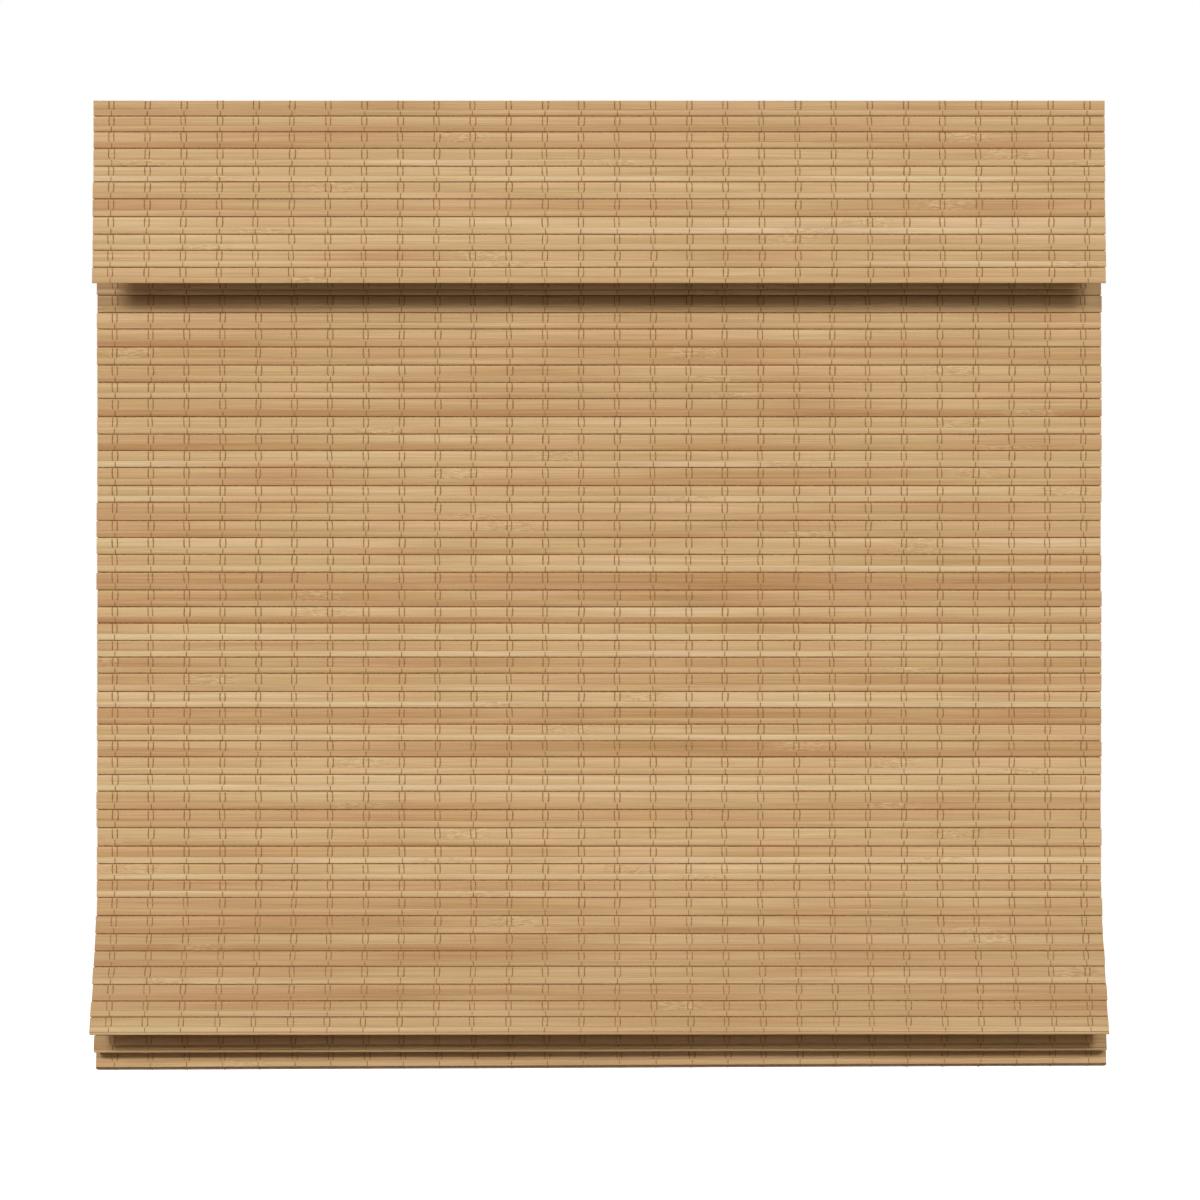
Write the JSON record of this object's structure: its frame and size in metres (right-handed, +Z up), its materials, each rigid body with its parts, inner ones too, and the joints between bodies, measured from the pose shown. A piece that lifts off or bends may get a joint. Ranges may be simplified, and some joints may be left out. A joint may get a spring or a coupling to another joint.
{
  "type": "bamboo roman shade",
  "caption": "Cordless bamboo roman shade with a flat valance, a slatted mat drawn up into hanging folds, and a spring-driven cord lift in its headrail.",
  "frame": {"origin": "centre of the bracket screw holes on the brackets' top plane, where the shade meets the window head; the headrail is centred on it from front to back", "axes": "+X to the right along the headrail as seen from the room, -Y towards the room, +Z up"},
  "size_m": [0.84, 0.0944, 0.8076],
  "materials": {
    "bamboo": "satin split bamboo, oiled",
    "pine": "planed, unfinished",
    "enamelled_steel": "stove enamel, semi-gloss",
    "zinc_steel": "bright zinc plate",
    "spring_steel": "blued strip",
    "moulded_plastic": "moulded acetal",
    "lift_cord": "braided polyester",
    "tape": "woven hook and loop"
  },
  "bodies": {
    "headrail": {"headrail": "enamelled_steel", "end_cap_left": "moulded_plastic", "end_cap_right": "moulded_plastic", "bracket_left": "zinc_steel", "bracket_right": "zinc_steel", "front_batten": "pine", "batten_screws": "zinc_steel", "valance_tape": "tape", "valance": "bamboo", "shade_panel": "bamboo", "cradle_left": "moulded_plastic", "cradle_middle": "moulded_plastic", "cradle_right": "moulded_plastic", "motor_frame": "moulded_plastic", "cord_eyelets": "moulded_plastic", "lift_cord_left": "lift_cord", "lift_cord_middle": "lift_cord", "lift_cord_right": "lift_cord", "power_spring": "spring_steel"},
    "lift_stack": {"fold_stack": "bamboo", "fold_rings": "moulded_plastic", "cord_adjusters": "moulded_plastic", "bottom_rail": "pine"},
    "lift_drive": {"lift_shaft": "zinc_steel", "spool_left": "moulded_plastic", "spool_middle": "moulded_plastic", "spool_right": "moulded_plastic", "output_drum": "moulded_plastic"},
    "spring_storage": {"storage_drum": "moulded_plastic"},
    "upper_rings": {"ring_row_upper": "moulded_plastic"},
    "lower_rings": {"ring_row_lower": "moulded_plastic"}
  },
  "joints": [
    {"name": "lift", "type": "slide", "parent": "headrail", "child": "lift_stack", "axis": [0, 0, 1], "range_m": [0, 0.55], "deforming": ["shade_panel", "lift_cord_left", "lift_cord_middle", "lift_cord_right", "power_spring"]},
    {"name": "drive_turn", "type": "hinge", "parent": "headrail", "child": "lift_drive", "pos_m": [0, -0.00965, -0.0188], "axis": [-1, 0, 0], "range_deg": [0, 4671]},
    {"name": "storage_turn", "type": "hinge", "parent": "headrail", "child": "spring_storage", "pos_m": [0, 0.00595, -0.0188], "axis": [-1, 0, 0], "range_deg": [-4262, 0]},
    {"name": "upper_ring_rise", "type": "slide", "parent": "headrail", "child": "upper_rings", "axis": [0, 0, 1], "range_m": [0, 0.184]},
    {"name": "lower_ring_rise", "type": "slide", "parent": "headrail", "child": "lower_rings", "axis": [0, 0, 1], "range_m": [0, 0.368]}
  ],
  "couplings": [
    {"joint": "drive_turn", "follows": "lift", "rad_per_m": 148.15},
    {"joint": "storage_turn", "follows": "lift", "rad_per_m": -135.17},
    {"joint": "upper_ring_rise", "follows": "lift", "ratio": 0.33342},
    {"joint": "lower_ring_rise", "follows": "lift", "ratio": 0.66818}
  ]
}
